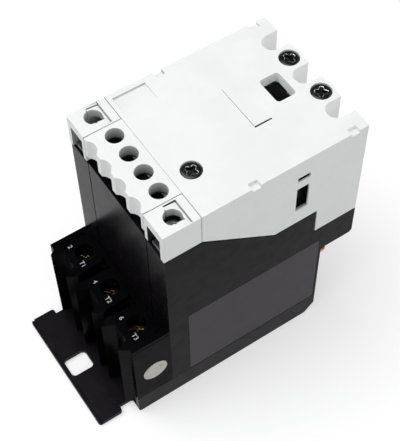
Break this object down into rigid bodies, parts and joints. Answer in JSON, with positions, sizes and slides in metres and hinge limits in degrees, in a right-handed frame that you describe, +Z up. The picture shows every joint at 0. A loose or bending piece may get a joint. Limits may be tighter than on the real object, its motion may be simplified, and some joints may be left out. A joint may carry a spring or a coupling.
{
  "type": "magnetic motor starter",
  "caption": "Plug-in magnetic motor starter module: black housing, white front cover, screw terminals in towers, coil and spring-loaded contact carrier.",
  "frame": {"origin": "on the mounting plane, at the middle of the width, 0.3 mm in front of the housing's front face", "axes": "+X across the width to the side with the rating label, +Y from the terminals to the plug-in end, +Z up from the mounting plane to the cover"},
  "size_m": [0.0541, 0.1019, 0.0956],
  "materials": {
    "housing_plastic": "moulded black thermoset with a fine grain",
    "cover_plastic": "moulded white thermoplastic with a fine grain",
    "label_film": "smooth dark film",
    "sticker_paper": "pale paper",
    "indicator_plastic": "smooth black",
    "carrier_plastic": "moulded dark brown thermoset",
    "bobbin_plastic": "glass-filled nylon, natural",
    "blackened_steel": "oiled black finish",
    "zinc_steel": "bright zinc plate",
    "spring_steel": "drawn wire",
    "lamination_steel": "stacked sheet with ground pole faces",
    "terminal_brass": "passivated",
    "contact_copper": "rolled copper with a tarnish",
    "enamel_wire": "enamelled winding under varnish",
    "lead_insulation": "insulated lead",
    "cushion_rubber": "moulded rubber"
  },
  "bodies": {
    "housing": {"base_tray": "housing_plastic", "main_housing": "housing_plastic", "terminal_block": "housing_plastic", "front_cover": "cover_plastic", "control_terminal_cover": "cover_plastic", "coil_cover_left": "cover_plastic", "coil_cover_right": "cover_plastic", "marker_plate": "cover_plastic", "cover_screws": "blackened_steel", "base_screws": "zinc_steel", "rating_label": "label_film", "inspection_sticker": "sticker_paper", "core_cushion": "cushion_rubber", "fixed_core": "lamination_steel", "shading_rings": "contact_copper", "coil_bobbin": "bobbin_plastic", "coil_winding": "enamel_wire", "coil_leads": "lead_insulation", "return_springs": "spring_steel", "line_contact_1": "contact_copper", "line_contact_2": "contact_copper", "line_contact_3": "contact_copper", "load_contact_1": "contact_copper", "load_contact_2": "contact_copper", "load_contact_3": "contact_copper", "arc_splitters": "zinc_steel", "arc_chamber_cover": "housing_plastic", "coil_terminal_left": "terminal_brass", "coil_terminal_right": "terminal_brass"},
    "carrier": {"contact_carrier": "carrier_plastic", "position_indicator": "indicator_plastic", "armature": "lamination_steel", "armature_pins": "zinc_steel", "contact_spring_1": "spring_steel", "contact_spring_2": "spring_steel", "contact_spring_3": "spring_steel"},
    "bridge_1": {"contact_bridge_1": "contact_copper"},
    "bridge_2": {"contact_bridge_2": "contact_copper"},
    "bridge_3": {"contact_bridge_3": "contact_copper"},
    "screw_1": {"terminal_screw_1": "terminal_brass"},
    "clamp_1": {"terminal_clamp_1": "zinc_steel"},
    "screw_2": {"terminal_screw_2": "terminal_brass"},
    "clamp_2": {"terminal_clamp_2": "zinc_steel"},
    "screw_3": {"terminal_screw_3": "terminal_brass"},
    "clamp_3": {"terminal_clamp_3": "zinc_steel"},
    "coil_saddle_left": {"coil_saddle_left": "zinc_steel"},
    "coil_screw_left": {"coil_screw_left": "zinc_steel"},
    "coil_saddle_right": {"coil_saddle_right": "zinc_steel"},
    "coil_screw_right": {"coil_screw_right": "zinc_steel"}
  },
  "joints": [
    {"name": "carrier_slide", "type": "slide", "parent": "housing", "child": "carrier", "axis": [0, 0, 1], "range_m": [-0.0045, 0], "stiffness_N_per_m": 1500, "springref_m": 0.003, "deforming": ["return_springs"]},
    {"name": "bridge_1_overtravel", "type": "slide", "parent": "carrier", "child": "bridge_1", "axis": [0, 0, 1], "range_m": [0, 0.0016], "deforming": ["contact_spring_1"]},
    {"name": "bridge_2_overtravel", "type": "slide", "parent": "carrier", "child": "bridge_2", "axis": [0, 0, 1], "range_m": [0, 0.0016], "deforming": ["contact_spring_2"]},
    {"name": "bridge_3_overtravel", "type": "slide", "parent": "carrier", "child": "bridge_3", "axis": [0, 0, 1], "range_m": [0, 0.0016], "deforming": ["contact_spring_3"]},
    {"name": "terminal_screw_1_turn", "type": "hinge", "parent": "housing", "child": "screw_1", "pos_m": [-0.0166, -0.0059, 0.03], "axis": [0, 0, -1], "range_deg": [0, 1080]},
    {"name": "terminal_clamp_1_lift", "type": "slide", "parent": "housing", "child": "clamp_1", "axis": [0, 0, 1], "range_m": [0, 0.0021]},
    {"name": "terminal_screw_2_turn", "type": "hinge", "parent": "housing", "child": "screw_2", "pos_m": [0, -0.0059, 0.03], "axis": [0, 0, -1], "range_deg": [0, 1080]},
    {"name": "terminal_clamp_2_lift", "type": "slide", "parent": "housing", "child": "clamp_2", "axis": [0, 0, 1], "range_m": [0, 0.0021]},
    {"name": "terminal_screw_3_turn", "type": "hinge", "parent": "housing", "child": "screw_3", "pos_m": [0.0166, -0.0059, 0.03], "axis": [0, 0, -1], "range_deg": [0, 1080]},
    {"name": "terminal_clamp_3_lift", "type": "slide", "parent": "housing", "child": "clamp_3", "axis": [0, 0, 1], "range_m": [0, 0.0021]},
    {"name": "coil_saddle_left_drop", "type": "slide", "parent": "housing", "child": "coil_saddle_left", "axis": [0, 0, -1], "range_m": [0, 0.0018]},
    {"name": "coil_screw_left_turn", "type": "hinge", "parent": "coil_saddle_left", "child": "coil_screw_left", "pos_m": [-0.0221, 0.0066, 0.089], "axis": [0, 0, -1], "range_deg": [0, 1080]},
    {"name": "coil_saddle_right_drop", "type": "slide", "parent": "housing", "child": "coil_saddle_right", "axis": [0, 0, -1], "range_m": [0, 0.0018]},
    {"name": "coil_screw_right_turn", "type": "hinge", "parent": "coil_saddle_right", "child": "coil_screw_right", "pos_m": [0.0221, 0.0066, 0.089], "axis": [0, 0, -1], "range_deg": [0, 1080]}
  ],
  "couplings": [
    {"joint": "bridge_1_overtravel", "follows": "carrier_slide", "ratio": -0.34},
    {"joint": "bridge_2_overtravel", "follows": "carrier_slide", "ratio": -0.34},
    {"joint": "bridge_3_overtravel", "follows": "carrier_slide", "ratio": -0.34},
    {"joint": "terminal_screw_1_turn", "follows": "terminal_clamp_1_lift", "rad_per_m": 8976},
    {"joint": "terminal_screw_2_turn", "follows": "terminal_clamp_2_lift", "rad_per_m": 8976},
    {"joint": "terminal_screw_3_turn", "follows": "terminal_clamp_3_lift", "rad_per_m": 8976},
    {"joint": "coil_screw_left_turn", "follows": "coil_saddle_left_drop", "rad_per_m": 10472},
    {"joint": "coil_screw_right_turn", "follows": "coil_saddle_right_drop", "rad_per_m": 10472}
  ]
}
